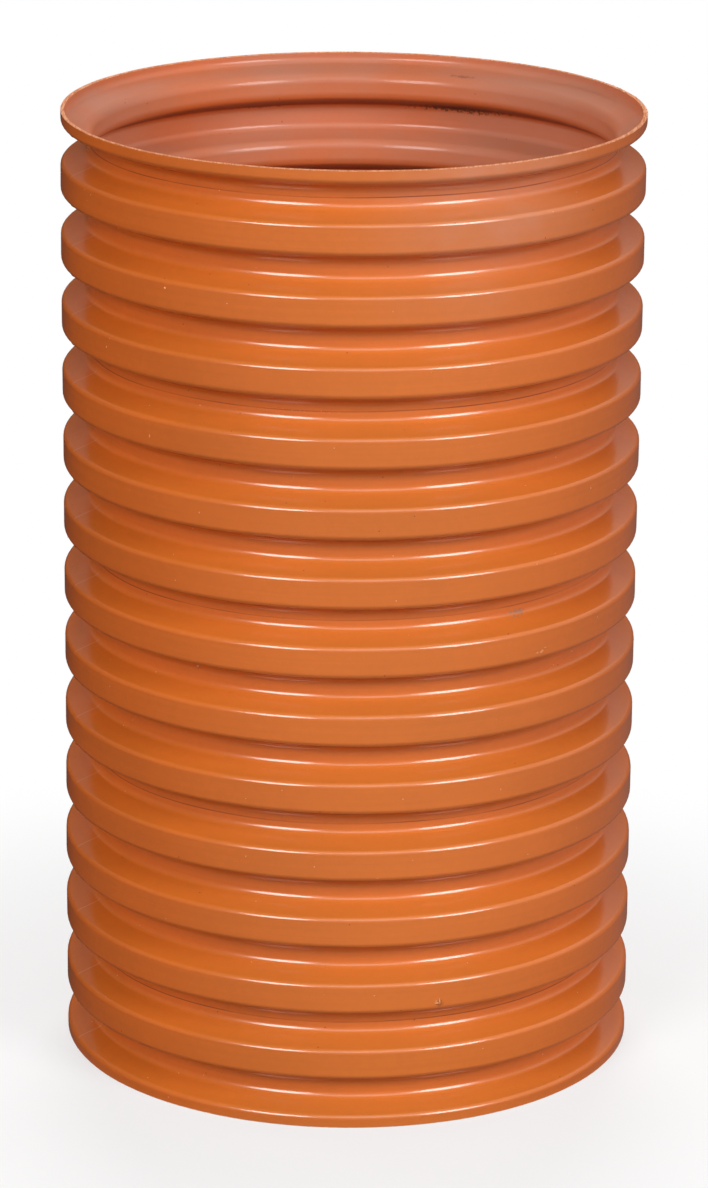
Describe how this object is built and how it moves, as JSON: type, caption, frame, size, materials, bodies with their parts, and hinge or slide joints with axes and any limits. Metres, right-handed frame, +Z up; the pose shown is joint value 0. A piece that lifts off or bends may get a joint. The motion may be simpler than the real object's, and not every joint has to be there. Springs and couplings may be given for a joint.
{
  "type": "corrugated riser pipe",
  "caption": "Single-wall corrugated plastic riser pipe with rounded ring waves, open at both ends and sawn square through a crest, for drainage inspection chambers.",
  "frame": {"origin": "centre of the pipe on the plane of its lower cut edge", "axes": "+Z up along the pipe's axis; X and Y are any two square directions across it"},
  "size_m": [0.4759, 0.476, 0.794],
  "materials": {
    "pipe_plastic": "satin to glossy orange-brown polypropylene"
  },
  "bodies": {
    "root": {"riser_pipe": "pipe_plastic"}
  },
  "joints": []
}
